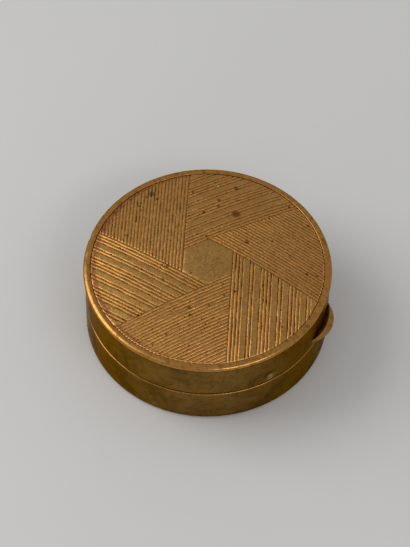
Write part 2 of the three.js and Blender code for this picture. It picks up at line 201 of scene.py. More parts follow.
# Inside of the case
collar_low, collar_high = corners("base_collar")
COLLAR_THICKNESS = 0.5
SNAP_RIDGE = 0.12
SNAP_RIDGE_HEIGHT = 0.8
SHELF_THICKNESS = 0.5
PAN_SHEET = 0.4
PAN_FLANGE = 2
PAN_FOOT_RADIUS = 0.4
PAN_RING_WIDTH = 2.2
MIRROR_RING_SHEET = 0.4
MIRROR_LIP = 1.3
CARD_ROUNDING = 0.05
FOXED_FROM, FOXED_FULLY = 14, 22.5  # distance from the mirror's axis

# Puff and its stitches
PUFF_SEAM = 0.8  # height of the seam above the powder
PUFF_SLACK = 0.5  # height of each sheet before it is filled
PUFF_UNEVENNESS, PUFF_WAVE = 0.05, 3
PUFF_PRESSURE = 4
PUFF_STIFFNESS = 0.3
SIMULATION_SCALE = 10  # the cloth solver is made for things as large as a cushion
SIMULATION_FRAMES = 20
EDGE_STITCHES = 64
THREAD = 0.1
THREAD_TIP = 0.6  # share of the thread's radius left at its ends
THREAD_LIFT = 0.6  # share of the radius by which its middle lies above the cloth
STITCH_LENGTH = 1.2
STITCH_PLACES = (1, 0.5, 0.2)  # shares of the length, from the inner end to the seam
STITCH_SLANT = 0.35
STITCH_BACK, STITCH_DOWN = 0.25, 0.3
ABOVE_ALL = 50  # a height above the whole case

# Ribbon
RIBBON_WIDTH = 10
RIBBON_THICKNESS = 0.16
RIBBON_RIBS, RIBBON_RIB = 60, 0.025
SELVEDGE, SELVEDGE_START = 0.07, 0.88
RIBBON_GAP = 0.04
RIBBON_ARCH = 0.1
RIBBON_CURL, RIBBON_WAVE = 0.03, 4
RIBBON_SPAN, RIBBON_SMOOTHING = 6, 9  # steps over which it spans hollows and evens out
RIBBON_STITCHES = 9
RIBBON_HEM = 1
RIBBON_STITCH_MARGIN = 0.6
RIBBON_STITCH, RIBBON_STITCH_SLANT = 0.4, 0.15
RIBBON_STITCH_SINK, RIBBON_STITCH_RISE = 0.1, 0.03

# Fineness of the meshes
SHELL_SEGMENTS = 288
INNER_SEGMENTS = 192
KNUCKLE_SEGMENTS = 48
PIN_SEGMENTS = 32
CORNER_STEPS, CHAMFER_STEPS, FOOT_STEPS = 4, 2, 8
RIM_STEPS = 18
DOME_POINTS = 9
LID_STEP, BASE_STEP = 0.5, 0.8  # longest steps of the shells' outlines
LEAF_STEPS = 16
TAB_STATIONS = 60
# Places of points across a line in line widths, and from both ends of a row and inside the hexagon
LINE_SECTION = np.array([-0.5, -0.38, -0.25, -0.12, 0.0, 0.12, 0.25, 0.38, 0.5])
NEAR_START = np.array([0.0, 0.06, 0.13, 0.19, 0.26, 0.4])
NEAR_END = np.array([0.5, 0.36, 0.27, 0.19, 0.12, 0.05, 0.0])
HEXAGON_INSETS = [0, 0.05, 0.11, 0.17, 0.23, 0.7, 1.6, 2.7, 3.9]
FIELD_COLUMNS = 60
FIELD_WIDTH = len(NEAR_START) + FIELD_COLUMNS + len(NEAR_END)
LAST_ROW_GAP = 0.02  # rows nearer than this to a field's top are left out
HEXAGON_SIDE_STEPS = 10
UNDERSIDE_RINGS = 5
PUFF_SEGMENTS = 3 * EDGE_STITCHES
PUFF_RINGS = 24
THREAD_SIDES = 6
RIBBON_STEPS, RIBBON_ACROSS = 240, 24
SHARP_ANGLE = 38
DOUBLED, DEGENERATE = 1e-7, 1e-8  # shorter edges than these, in metres, are merged away
EDGE_STRENGTH = 0.3  # edge value of a bend of one radian in a millimetre

# Colours: each brass has a rubbed, a plain, a dull and a deep shade
# The gilt's plain and dull shades colour its walls. They are partly patina and partly painted shade, which
# darkens the walls as if they reflected dark surroundings
GILT_TONES_WITH_PAINTED_SHADE = (0.62, 0.3, 0.074), (0.25, 0.142, 0.043), (0.15, 0.085, 0.026), (0.08, 0.043, 0.014)
INNER_SHADES = (0.66, 0.45, 0.18), (0.6, 0.4, 0.15), (0.5, 0.32, 0.11), (0.36, 0.22, 0.07)
HINGE_SHADES = (0.5, 0.3, 0.1), (0.4, 0.24, 0.08), (0.3, 0.18, 0.06), (0.16, 0.095, 0.03)
DIRT = (0.035, 0.017, 0.006)
BLOT_RIPPLE = 0.7
BLOT_START, BLOT_FULL = 1.15, 0.55  # shares of a blot's radius between which it fades


# Mesh making


def added(name, data):
    """A new object in the scene."""
    obj = bpy.data.objects.new(name, data)
    bpy.context.scene.collection.objects.link(obj)
    return obj


def new_mesh(name, points, faces, unit=MM):
    """A mesh from points in a unit given in metres."""
    mesh = bpy.data.meshes.new(name)
    mesh.from_pydata([tuple(p) for p in np.asarray(points, float) * unit], [], faces)
    return mesh


def finish_mesh(mesh, sharp_angle):
    """Turns faces outwards, merges doubled points and shades smooth apart from sharp edges."""
    work = bmesh.new()
    work.from_mesh(mesh)
    bmesh.ops.remove_doubles(work, verts=work.verts, dist=DOUBLED)
    bmesh.ops.dissolve_degenerate(work, dist=DEGENERATE, edges=work.edges)
    bmesh.ops.recalc_face_normals(work, faces=work.faces)
    work.to_mesh(mesh)
    work.free()
    mesh.shade_smooth()
    mesh.set_sharp_from_angle(angle=math.radians(sharp_angle))


def piece(name, points, faces, attributes=None, sharp_angle=SHARP_ANGLE):
    """A new object from points in millimetres, with per-point attributes that its material reads."""
    mesh = new_mesh(name, points, faces)
    for label, values in (attributes or {}).items():
        layer = mesh.attributes.new(label, "FLOAT", "POINT")
        layer.data.foreach_set("value", np.asarray(values, np.float32))
    finish_mesh(mesh, sharp_angle)
    return added(name, mesh)


def dress(obj, material, body, slot, *nodes):
    """Gives a piece its material and its body, and hides the CAD nodes that it stands for. The slot is not
    used.
    """
    obj.data.materials.clear()
    obj.data.materials.append(material)
    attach(obj, body)
    if nodes:
        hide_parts(*nodes)
    return obj


def polar(radius, angle, height=0.0):
    """A point by its distance from the axis, its angle and its height."""
    return radius * math.cos(angle), radius * math.sin(angle), height


def band_faces(low, high, width, wrap=False):
    """Faces between two rows of points, which are rings if they wrap."""
    pairs = [(k, (k + 1) % width) for k in range(width if wrap else width - 1)]
    return [(low + k, low + n, high + n, high + k) for k, n in pairs]


def grid_faces(first, rows, width, wrap=False, closed=False):
    """Faces between the rows of a grid. In a closed one the last row joins the first."""
    starts = [first + i * width for i in range(rows)]
    if closed:
        starts.append(first)
    return [face for low, high in zip(starts, starts[1:]) for face in band_faces(low, high, width, wrap)]


def fan_faces(first, count, middle):
    """Faces from a ring of points to the point in its middle."""
    return [(first + k, first + (k + 1) % count, middle) for k in range(count)]


def tube_faces(first, rows, width):
    """Faces of a row of rings whose two ends are closed."""
    last = first + (rows - 1) * width
    ends = [tuple(range(first, first + width))[::-1], tuple(range(last, last + width))]
    return grid_faces(first, rows, width, wrap=True) + ends


def rounded(points, steps=CORNER_STEPS):
    """An outline whose corners, given as radius, height and rounding, are curved."""
    out = []
    for i, corner in enumerate(points):
        here = np.array(corner[:2], float)
        size = corner[2] if len(corner) > 2 else 0
        if not size:
            out.append(tuple(here))
            continue
        before = np.array(points[i - 1][:2], float) - here
        after = np.array(points[(i + 1) % len(points)][:2], float) - here
        start = here + before / np.linalg.norm(before) * size
        stop = here + after / np.linalg.norm(after) * size
        for t in np.linspace(0, 1, steps + 1):
            out.append(tuple((1 - t) ** 2 * start + 2 * t * (1 - t) * here + t ** 2 * stop))
    return out


def box_outline(inside, outside, bottom, top, size, steps=CORNER_STEPS):
    """Outline with rounded corners of a rectangular ring, or of a disc if it starts at the axis."""
    inner = size if inside else 0
    points = [(inside, bottom, inner), (outside, bottom, size), (outside, top, size), (inside, top, inner)]
    return rounded(points, steps)


def subdivided(points, longest):
    """An outline with extra points on its long straight stretches."""
    out = []
    for a, b in zip(points, points[1:]):
        count = max(1, math.ceil(math.dist(a, b) / longest))
        out += [(a[0] + (b[0] - a[0]) * k / count, a[1] + (b[1] - a[1]) * k / count) for k in range(count)]
    return out + [points[-1]]


def sharpness(outline, closed):
    """How strongly an outline bends at each point: above 0 on outer corners, below 0 in inner ones."""
    count = len(outline)
    values = []
    for i, here in enumerate(outline):
        if not closed and i in (0, count - 1):
            values.append(0.0)
            continue
        before, after = outline[i - 1], outline[(i + 1) % count]
        first = math.atan2(here[1] - before[1], here[0] - before[0])
        second = math.atan2(after[1] - here[1], after[0] - here[0])
        bend = math.remainder(second - first, math.tau)
        length = (math.dist(before, here) + math.dist(here, after)) / 2
        values.append(max(-1.0, min(1.0, EDGE_STRENGTH * bend / max(length, 1e-6))))
    return values


def turned(name, outline, segments=INNER_SEGMENTS, shape=None):
    """A turned piece. The outline runs anticlockwise, from axis to axis or round a ring's section.

    The function shape moves a point by its radius, height and angle.
    """
    closed = outline[0][0] > 0
    points, edges = [], []
    for (radius, height), bend in zip(outline, sharpness(outline, closed)):
        for k in range(segments):
            angle = math.tau * k / segments
            r, z = shape(radius, height, angle) if shape else (radius, height)
            points.append(polar(r, angle, z))
            edges.append(bend)
    faces = grid_faces(0, len(outline), segments, wrap=True, closed=closed)
    return piece(name, points, faces, {"edge": edges})


def cut_with(obj, work):
    """Cuts a closed bmesh out of a piece."""
    mesh = bpy.data.meshes.new("cutter")
    work.to_mesh(mesh)
    work.free()
    cutter = added("cutter", mesh)
    modifier = obj.modifiers.new("cut", "BOOLEAN")
    modifier.operation = "DIFFERENCE"
    modifier.solver = "EXACT"
    modifier.object = cutter
    obj.data = bpy.data.meshes.new_from_object(obj.evaluated_get(bpy.context.evaluated_depsgraph_get()))
    obj.modifiers.clear()
    obj.data.set_sharp_from_angle(angle=math.radians(SHARP_ANGLE))
    bpy.data.objects.remove(cutter)


def joined(first, *others):
    """One piece made of several."""
    with bpy.context.temp_override(active_object=first, selected_editable_objects=[first, *others]):
        bpy.ops.object.join()
    return first


def wave(x, y, z, scale):
    """Smooth noise from about -1 to 1 at a point in millimetres."""
    return noise.noise(Vector((x, y, z)) / scale)


# Materials


class Finish:
    """A node material in the making. Most methods add a node and return its output."""

    def __init__(self, name):
        self.material = bpy.data.materials.new(name)
        self.material.use_nodes = True
        self.nodes = self.material.node_tree.nodes
        self.links = self.material.node_tree.links
        self.place = self.node("TexCoord").outputs["Object"]
        self.colour = None

    def node(self, kind, inputs=None, **settings):
        """A new node with its settings, and with its inputs, by name or number, linked or set."""
        made = self.nodes.new("ShaderNode" + kind)
        for label, value in settings.items():
            setattr(made, label, value)
        for label, value in (inputs or {}).items():
            self.put(made.inputs[label], value)
        return made

    def put(self, socket, value):
        """Links an output to an input, or sets a plain value on it."""
        if isinstance(value, bpy.types.NodeSocket):
            self.links.new(value, socket)
        elif isinstance(value, tuple) and socket.type == "RGBA":
            socket.default_value = (*value, 1)
        else:
            socket.default_value = value

    def done(self, **values):
        """The material with its colour and other inputs set. Underscores stand for spaces in their names."""
        for label, value in {"Base_Color": self.colour, **values}.items():
            self.put(self.nodes["Principled BSDF"].inputs[label.replace("_", " ")], value)
        return self.material

    def attribute(self, label):
        return self.node("Attribute", attribute_name=label).outputs["Fac"]

    def coordinates(self):
        """The three object coordinates, one by one."""
        return self.node("SeparateXYZ", {0: self.place}).outputs

    def stretched(self, x, y, z):
        """Object coordinates with a scale of their own along each axis."""
        return self.node("Mapping", {"Vector": self.place, "Scale": (x, y, z)}).outputs["Vector"]

    def noise(self, size, detail=4, roughness=0.55, distortion=0.0, place=None):
        """Noise whose features are about that many millimetres across."""
        return self.node("TexNoise", {
            "Vector": place or self.place, "Scale": 1 / (size * MM), "Detail": detail, "Roughness": roughness,
            "Distortion": distortion}).outputs[0]

    def cells(self, size):
        """Distance to the nearest of scattered points about that many millimetres apart."""
        inputs = {"Vector": self.place, "Scale": 1 / (size * MM)}
        return self.node("TexVoronoi", inputs).outputs["Distance"]

    def ranged(self, value, low, high, to_low=0.0, to_high=1.0):
        """A value's smooth passage from one range to another."""
        inputs = {"Value": value, "From Min": low, "From Max": high, "To Min": to_low, "To Max": to_high}
        return self.node("MapRange", inputs, interpolation_type="SMOOTHSTEP").outputs["Result"]

    def math(self, operation, first, second=0.5):
        return self.node("Math", {0: first, 1: second}, operation=operation).outputs[0]

    def times(self, first, second):
        return self.math("MULTIPLY", first, second)

    def mix(self, factor, first, second):
        return self.node("Mix", {0: factor, 6: first, 7: second}, data_type="RGBA").outputs[2]

    def tint(self, factor, colour, amount=None):
        """Mixes a colour into the material's own, by a factor times an amount."""
        self.colour = self.mix(self.times(factor, amount) if amount else factor, self.colour, colour)

    def bump(self, height, depth, normal=None):
        """Bump whose full height is that many millimetres, on top of another bump."""
        made = self.node("Bump", {"Strength": 1, "Distance": depth * MM, "Height": height})
        if normal:
            self.put(made.inputs["Normal"], normal)
        return made.outputs["Normal"]

    def blots(self, spots, ragged=0.25):
        """Where a point lies in one of the spots, each a place and a radius in millimetres."""
        ripple = self.node("TexNoise", {"Vector": self.place, "Scale": 1 / (BLOT_RIPPLE * MM)})
        inputs = {0: ripple.outputs["Color"], 1: (ragged * MM,) * 3, 2: self.place}
        shift = self.node("VectorMath", inputs, operation="MULTIPLY_ADD").outputs[0]
        total = None
        for place, radius in spots:
            middle = tuple(x * MM + ragged * MM / 2 for x in place)
            reach = self.node("VectorMath", {0: shift, 1: middle}, operation="DISTANCE").outputs["Value"]
            blot = self.ranged(reach, radius * MM * BLOT_START, radius * MM * BLOT_FULL)
            total = self.math("MAXIMUM", total, blot) if total else blot
        return total


def aged_brass(name, shades, roughness, grain=0.012, handled_above=1e3, scuffs_and_glints=()):
    """Gilt brass with patches of tarnish, rubbed edges, dirt in its corners, fine scratches and pits.

    Above a height in millimetres, handling has kept it as clean as the rubbed edges. Scuffs are places and
    radii where the gilding is gone; their pale colour is also a painted highlight, standing in for a glint.
    """
    f = Finish(name)
    rubbed_shade, plain, dull, deep = shades
    edge = f.attribute("edge")
    low, high = (handled_above - HANDLED_FADE) * MM, (handled_above + HANDLED_FADE) * MM
    handled = f.ranged(f.coordinates()[2], low, high)
    patches = f.ranged(f.noise(7, 6, 0.65, 0.6), 0.38, 0.66)
    blotches = f.ranged(f.noise(1.2, 6, 0.65), 0.5, 0.7)
    pits = f.ranged(f.cells(1.9), 0.09, 0.03)
    scratches = f.ranged(f.noise(0.35, 3, 0.5, place=f.stretched(0.16, 1, 0.7)), 0.56, 0.66)
    rubbed = f.ranged(edge, 0.12, 0.75)
    dirt = f.ranged(edge, -0.1, -0.8)
    # for the gilt, these wall shades are partly painted shade
    f.colour = f.mix(patches, plain, dull)
    f.tint(f.math("MAXIMUM", f.times(rubbed, 0.55), f.times(handled, 0.85)), rubbed_shade)
    f.tint(f.times(f.ranged(f.noise(0.8, 6, 0.7), 0.48, 0.64, 0, 0.6), handled), (0.3, 0.12, 0.025))
    f.tint(blotches, deep, 0.55)
    f.tint(f.math("MAXIMUM", dirt, pits), DIRT, 0.8)
    rough = f.ranged(f.noise(2.4, 5), 0.3, 0.7, roughness - 0.07, roughness + 0.1)
    rough = f.math("ADD", rough, f.times(patches, 0.08))
    rough = f.math("SUBTRACT", rough, f.times(rubbed, 0.1))
    if scuffs_and_glints:
        # pale bare metal, which is partly a painted glint
        bare = f.times(f.blots(scuffs_and_glints, 1.2), f.ranged(f.noise(0.5, 4), 0.36, 0.6, 0.25, 0.75))
        f.tint(bare, (0.44, 0.33, 0.15))
        rough = f.math("ADD", rough, f.times(bare, 0.2))
    normal = f.bump(pits, -0.03, f.bump(scratches, 0.003, f.bump(f.noise(0.5, 6, 0.6), grain)))
    return f.done(Metallic=1.0, Roughness=rough, Normal=normal, Specular_Tint=(0.62, 0.46, 0.3))


def engraved_brass(dark_spots, dirty_lines, red_spots, pale_spots, copper_patches):
    """The panel's gilt brass: worn ridges, dirt in the lines, small pits and the photograph's spots."""
    f = Finish("engraved_brass")
    groove, lined, ring, brink_wear_and_highlight = [f.attribute(label) for label in ("groove", "lined", "ring", "brink_wear_and_highlight")]
    patches = f.ranged(f.noise(9, 5, 0.6, 0.5), 0.36, 0.66)
    mottle = f.noise(0.9, 6, 0.65)
    speckle = f.noise(0.5, 4, 0.7)
    grime = f.times(f.ranged(groove, 0.3, 0.9), f.ranged(mottle, 0.4, 0.58, 0.45, 1.0))
    worn = f.ranged(f.noise(0.6, 4, 0.6), 0.36, 0.6, 0.2, 0.8)
    ridge = f.times(f.times(lined, worn), f.ranged(groove, 0.6, 0.05))
    pits = f.times(f.ranged(f.cells(0.9), 0.24, 0.1), f.ranged(f.noise(2.5, 4), 0.45, 0.53))
    pits = f.times(pits, f.ranged(groove, 0.1, 0.6, 0.1, 1.0))
    spots = f.math("MAXIMUM", pits, f.times(f.blots(dark_spots), f.ranged(groove, 0.1, 0.7, 0.6, 1.0)))
    streaks = f.times(f.ranged(groove, 0.35, 0.8), f.ranged(f.noise(1.1, 4, 0.6), 0.46, 0.54))
    spots = f.math("MAXIMUM", spots, f.times(streaks, f.blots(dirty_lines, 1.5)))
    gilding = f.mix(patches, (0.54, 0.295, 0.082), (0.47, 0.255, 0.068))
    cut = f.mix(patches, (0.55, 0.262, 0.061), (0.46, 0.214, 0.045))
    f.colour = f.mix(lined, gilding, cut)
    # Pale and dark mottling, speckles and coppery places
    f.tint(f.ranged(mottle, 0.45, 0.75, 0, 0.5), (0.62, 0.335, 0.108))
    f.tint(f.ranged(f.noise(0.45, 4, 0.6), 0.56, 0.7, 0, 0.4), (0.24, 0.12, 0.032))
    f.tint(f.ranged(speckle, 0.52, 0.66, 0, 0.6), (0.72, 0.4, 0.145))
    f.tint(f.ranged(speckle, 0.46, 0.34, 0, 0.6), (0.22, 0.1, 0.024))
    f.tint(f.ranged(f.noise(3.1, 5, 0.7, 0.8), 0.5, 0.7), (0.46, 0.19, 0.065), 0.4)
    f.tint(f.blots(copper_patches, 3), (0.56, 0.24, 0.07), 0.35)
    # Worn ridges, dirt in the lines, the brink, rubbed and with a painted highlight, and the ring of dirt
    # inside it
    f.tint(ridge, (0.68, 0.35, 0.108))
    f.tint(grime, (0.15, 0.055, 0.008), 0.8)
    # painted highlight, together with rubbing, along the panel's rounded edge
    f.tint(f.times(brink_wear_and_highlight, f.ranged(f.noise(1.6, 4, 0.6), 0.4, 0.6, 0.1, 0.85)), (0.78, 0.45, 0.17))
    f.tint(f.times(ring, f.ranged(f.noise(0.7, 4, 0.6), 0.36, 0.56, 0.35, 0.95)), (0.3, 0.105, 0.036))
    # Spots
    f.tint(f.blots(red_spots, 0.6), (0.2, 0.065, 0.018), 0.85)
    f.tint(spots, DIRT, 0.95)
    f.tint(f.blots(pale_spots, 0.1), (0.85, 0.56, 0.26))
    rough = f.ranged(f.noise(1.2, 5), 0.3, 0.7, 0.33, 0.47)
    rough = f.math("ADD", rough, f.times(grime, 0.12))
    rough = f.math("SUBTRACT", rough, f.times(lined, 0.06))
    normal = f.bump(pits, -0.04, f.bump(speckle, 0.02, f.bump(f.noise(0.4, 6, 0.65), 0.035)))
    return f.done(Metallic=1.0, Roughness=rough, Normal=normal)


def stamped_tin():
    f = Finish("pan_tin")
    spin = f.noise(0.4, 4, 0.6, place=f.stretched(1, 1, 0.2))
    f.colour = f.mix(f.noise(3, 5), (0.5, 0.48, 0.43), (0.62, 0.6, 0.55))
    return f.done(Metallic=1.0, Roughness=f.ranged(spin, 0.3, 0.7, 0.28, 0.45), Normal=f.bump(spin, 0.004))


def silvered_glass():
    """A mirror whose silvering has small foxed spots towards its edge."""
    f = Finish("mirror_glass")
    x, y, _ = f.coordinates()
    from_axis = f.math("SQRT", f.math("ADD", f.math("POWER", x, 2), f.math("POWER", y, 2)))
    specks = f.times(f.ranged(f.cells(1.4), 0.16, 0.06), f.ranged(f.noise(6, 4), 0.45, 0.65))
    foxing = f.times(specks, f.ranged(from_axis, FOXED_FROM * MM, FOXED_FULLY * MM))
    haze = f.ranged(f.noise(5, 5, 0.6, 0.5), 0.4, 0.75)
    f.colour = f.mix(foxing, (0.83, 0.85, 0.85), (0.2, 0.17, 0.12))
    rough = f.math("ADD", f.ranged(haze, 0, 1, 0.02, 0.06), f.times(foxing, 0.4))
    return f.done(Metallic=1.0, Roughness=rough)


def card():
    f = Finish("mirror_card")
    fibres = f.noise(0.5, 6, 0.7, place=f.stretched(1, 0.25, 1))
    f.colour = f.mix(fibres, (0.24, 0.19, 0.12), (0.36, 0.29, 0.2))
    return f.done(Roughness=0.95, Normal=f.bump(fibres, 0.03))


def pressed_powder():
    f = Finish("pressed_powder")
    grain = f.noise(0.25, 6, 0.75)
    f.colour = f.mix(f.noise(6, 4), (0.7, 0.44, 0.3), (0.76, 0.5, 0.35))
    f.tint(f.ranged(grain, 0.5, 0.8, 0, 0.5), (0.6, 0.36, 0.24))
    return f.done(Roughness=1.0, Specular_IOR_Level=0.1, Normal=f.bump(grain, 0.05))


def velour():
    """Cotton velour: a nap of fine tufts that lies in soft patches, with powder rubbed into it."""
    f = Finish("puff_velour")
    nap = f.noise(0.3, 5, 0.75)
    lie = f.noise(3.5, 4, 0.55, 0.4)
    f.colour = f.mix(f.ranged(lie, 0.35, 0.65), (0.79, 0.575, 0.43), (0.83, 0.63, 0.485))
    f.tint(f.ranged(nap, 0.48, 0.68, 0, 0.55), (0.6, 0.39, 0.27))
    f.tint(f.ranged(f.noise(8, 4), 0.45, 0.7), (0.8, 0.55, 0.4), 0.3)
    normal = f.bump(lie, 0.08, f.bump(nap, 0.12))
    return f.done(Roughness=0.95, Specular_IOR_Level=0.15, Sheen_Weight=0.6, Sheen_Roughness=0.4,
                  Sheen_Tint=(1.0, 0.87, 0.76), Normal=normal)


def satin():
    """Satin ribbon: fine ribs across its length and a soft gloss that follows the thread."""
    f = Finish("puff_ribbon")
    inputs = {"Vector": f.place, "Scale": 1 / (3 * MM), "Distortion": 0.4}
    ribs = f.node("TexWave", inputs, wave_type="BANDS", bands_direction="X").outputs["Fac"]
    threads = f.noise(0.3, 4, 0.6, place=f.stretched(0.15, 1, 1))
    f.colour = f.mix(threads, (0.62, 0.3, 0.22), (0.75, 0.42, 0.32))
    return f.done(Roughness=f.ranged(threads, 0.3, 0.7, 0.34, 0.46), Sheen_Weight=0.3, Anisotropic=0.4,
                  Normal=f.bump(ribs, 0.02, f.bump(threads, 0.02)))


def thread_cotton():
    f = Finish("thread_cotton")
    twist = f.noise(0.12, 3, 0.6)
    f.colour = f.mix(twist, (0.42, 0.2, 0.14), (0.56, 0.3, 0.22))
    return f.done(Roughness=0.7, Sheen_Weight=0.3, Normal=f.bump(twist, 0.02))


def pale_floor():
    f = Finish("pale_floor")
    f.colour = f.mix(f.noise(60, 3), (0.74, 0.735, 0.72), (0.78, 0.775, 0.76))
    return f.done(Roughness=0.75, Specular_IOR_Level=0.2, Normal=f.bump(f.noise(0.8, 5), 0.01))


# Camera and stage


def bearing(azimuth, elevation):
    """Direction from the case at an azimuth and an elevation in degrees."""
    azimuth, elevation = math.radians(azimuth), math.radians(elevation)
    level = math.cos(elevation)
    return Vector((math.sin(azimuth) * level, -math.cos(azimuth) * level, math.sin(elevation)))


def camera_axes():
    """Right, up and backward directions of the camera."""
    azimuth, roll = math.radians(CAMERA_AZIMUTH), math.radians(CAMERA_ROLL)
    back = bearing(CAMERA_AZIMUTH, CAMERA_ELEVATION)
    right = Vector((math.cos(azimuth), math.sin(azimuth), 0))
    up = back.cross(right)
    return right * math.cos(roll) + up * math.sin(roll), up * math.cos(roll) - right * math.sin(roll), back


def camera_place():
    """Where the camera stands, in millimetres, so that the middle of the rim falls on its pixel."""
    right, up, back = camera_axes()
    across = (RIM_MIDDLE_PIXEL[0] - PHOTO_WIDTH / 2) / PIXELS_PER_MM
    down = (RIM_MIDDLE_PIXEL[1] - PHOTO_HEIGHT / 2) / PIXELS_PER_MM
    return Vector((0, 0, AIM_HEIGHT)) + back * CAMERA_DISTANCE - right * across + up * down


def make_camera():
    data = bpy.data.cameras.new("camera")
    data.sensor_width = SENSOR_WIDTH
    data.lens = PIXELS_PER_MM * CAMERA_DISTANCE / PHOTO_HEIGHT * SENSOR_WIDTH
    data.clip_start, data.clip_end = CLIP_START, CLIP_END
    camera = added("camera", data)
    turn = Matrix(camera_axes()).transposed()
    camera.matrix_world = Matrix.Translation(camera_place() * MM) @ turn.to_4x4()
    bpy.context.scene.camera = camera


def on_panel(pixel):
    """The point of the panel that a pixel of the photograph shows, in millimetres."""
    right, up, back = camera_axes()
    focal = PIXELS_PER_MM * CAMERA_DISTANCE
    eye = camera_place()
    ray = right * (pixel[0] - PHOTO_WIDTH / 2) - up * (pixel[1] - PHOTO_HEIGHT / 2) - back * focal
    height = PANEL_TOP
    for _ in range(RAY_PASSES):
        point = eye + ray * ((height - eye.z) / ray.z)
        height = panel_height(math.hypot(point.x, point.y))
    return point


def placed(spots):
    """Spots of the photograph as points of the panel and radii."""
    return [(on_panel(pixel), radius) for pixel, radius in spots]


def area_light(name, azimuth, elevation, width, height, radiance):
    """A soft light at a bearing from the case, facing it. The radiance 1 shows as white."""
    back = bearing(azimuth, elevation)
    data = bpy.data.lights.new(name, "AREA")
    data.shape = "RECTANGLE"
    data.size, data.size_y = width, height
    data.energy = radiance * math.pi * width * height
    light = added(name, data)
    light.location = back * LIGHT_DISTANCE
    light.rotation_mode = "QUATERNION"
    light.rotation_quaternion = back.to_track_quat("Z", "Y")


def make_stage():
    around = ((-1, -1), (1, -1), (1, 1), (-1, 1))
    square = [(x * FLOOR_REACH, y * FLOOR_REACH, FLOOR_HEIGHT) for x, y in around]
    floor = added("floor", new_mesh("floor", square, [(0, 1, 2, 3)], unit=1))
    floor.data.materials.append(pale_floor())
    world = bpy.data.worlds.new("studio")
    world.use_nodes = True
    background = world.node_tree.nodes["Background"]
    background.inputs["Color"].default_value = (WORLD_GREY, WORLD_GREY, WORLD_GREY, 1)
    background.inputs["Strength"].default_value = 1
    bpy.context.scene.world = world
    for name, (past_camera, *others) in LIGHTS.items():
        area_light(name, CAMERA_AZIMUTH + past_camera, *others)
    bpy.context.scene.view_settings.view_transform = "Standard"


# Engine-turned panel


def dome_drop(radius):
    """How far the dome has fallen at a distance from the axis."""
    return DOME_RISE * (radius / PANEL) ** 2


def panel_height(radius):
    """Height of the panel's dome, without its lines."""
    return PANEL_TOP - dome_drop(radius)


def line_offsets(grouped):
    """Distances of a field's lines from the middle, evenly spaced or in groups with flat bands between."""
    offsets, offset, group = [], APOTHEM, 0
    while offset < PANEL_EDGE - LINE_WIDTH:
        count = GROUP_COUNTS[group % len(GROUP_COUNTS)] if grouped else 1
        for _ in range(count):
            offsets.append(offset)
            offset += GROUP_PITCH if grouped else DENSE_PITCH
        offset += GROUP_GAP - GROUP_PITCH if grouped else 0
        group += 1
    return [o for o in offsets if o < PANEL_EDGE - LINE_WIDTH]


def line_depth(across):
    """Depth of a line as a share of its full depth, at a distance from its middle in line widths."""
    share = max(1 - 2 * abs(across), 0)
    return share * share * (3 - 2 * share) * LINE_ROUNDNESS + share * (1 - LINE_ROUNDNESS)


def field_top():
    """How far from the middle a field reaches: where the next field's first line meets the edge."""
    start = -APOTHEM * math.tan(FIELD_ANGLE / 2)
    along = start * math.cos(FIELD_ANGLE) + APOTHEM * math.sin(FIELD_ANGLE)
    reach = -along + math.sqrt(along ** 2 + PANEL_EDGE ** 2 - start ** 2 - APOTHEM ** 2)
    return APOTHEM + reach * math.sin(FIELD_ANGLE)


def field_rows(grouped):
    """Rows of a field's mesh: distance from the middle, line, share of its depth, and 1 in a line."""
    top = field_top()
    rows = []
    offsets = line_offsets(grouped)
    for index, offset in enumerate(offsets):
        for across in LINE_SECTION[LINE_SECTION >= 0] if index == 0 else LINE_SECTION:
            rows.append((offset + across * LINE_WIDTH, index, line_depth(across), 1))
        if index + 1 < len(offsets) and offsets[index + 1] - offset > GROUP_PITCH + LAND_MARGIN:
            rows.append((offset + LINE_WIDTH / 2 + LAND_MARGIN, index, 0.0, 0))
            rows.append((offsets[index + 1] - LINE_WIDTH / 2 - LAND_MARGIN, index + 1, 0.0, 0))
    rows = [row for row in sorted(rows) if row[0] < top - LAST_ROW_GAP]
    return rows + [(top, -1, 0.0, 1)]


def row_places(y):
    """Places along a row, closer together at its two ends."""
    start = -APOTHEM * math.tan(FIELD_ANGLE / 2) + (y - APOTHEM) / math.tan(FIELD_ANGLE)
    stop = math.sqrt(max(PANEL_EDGE ** 2 - y ** 2, 0))
    length = max(stop - start, 0)
    squeeze = min(1, length / (2 * (NEAR_START[-1] + NEAR_END[0])))
    first, last = start + NEAR_START * squeeze, stop - NEAR_END * squeeze
    middle = np.linspace(first[-1], last[0], FIELD_COLUMNS + 2)[1:-1]
    return np.concatenate([first, middle, last])


def field_axes(field):
    """Directions along a field's lines and across them, away from the middle."""
    turn = PATTERN_TURN + field * FIELD_ANGLE
    return np.array([math.cos(turn), math.sin(turn)]), np.array([-math.sin(turn), math.cos(turn)])


def full_depth(field, line, x):
    """Uneven depth of a line's middle at a place along it."""
    if line == 0:
        return FIRST_LINE_DEPTH
    uneven = sum(share * wave(x, a * line, b * field, length) for share, length, a, b in DEPTH_WAVES)
    return (GROUPED_DEPTH if field % 2 else DENSE_DEPTH) * (1 + uneven)


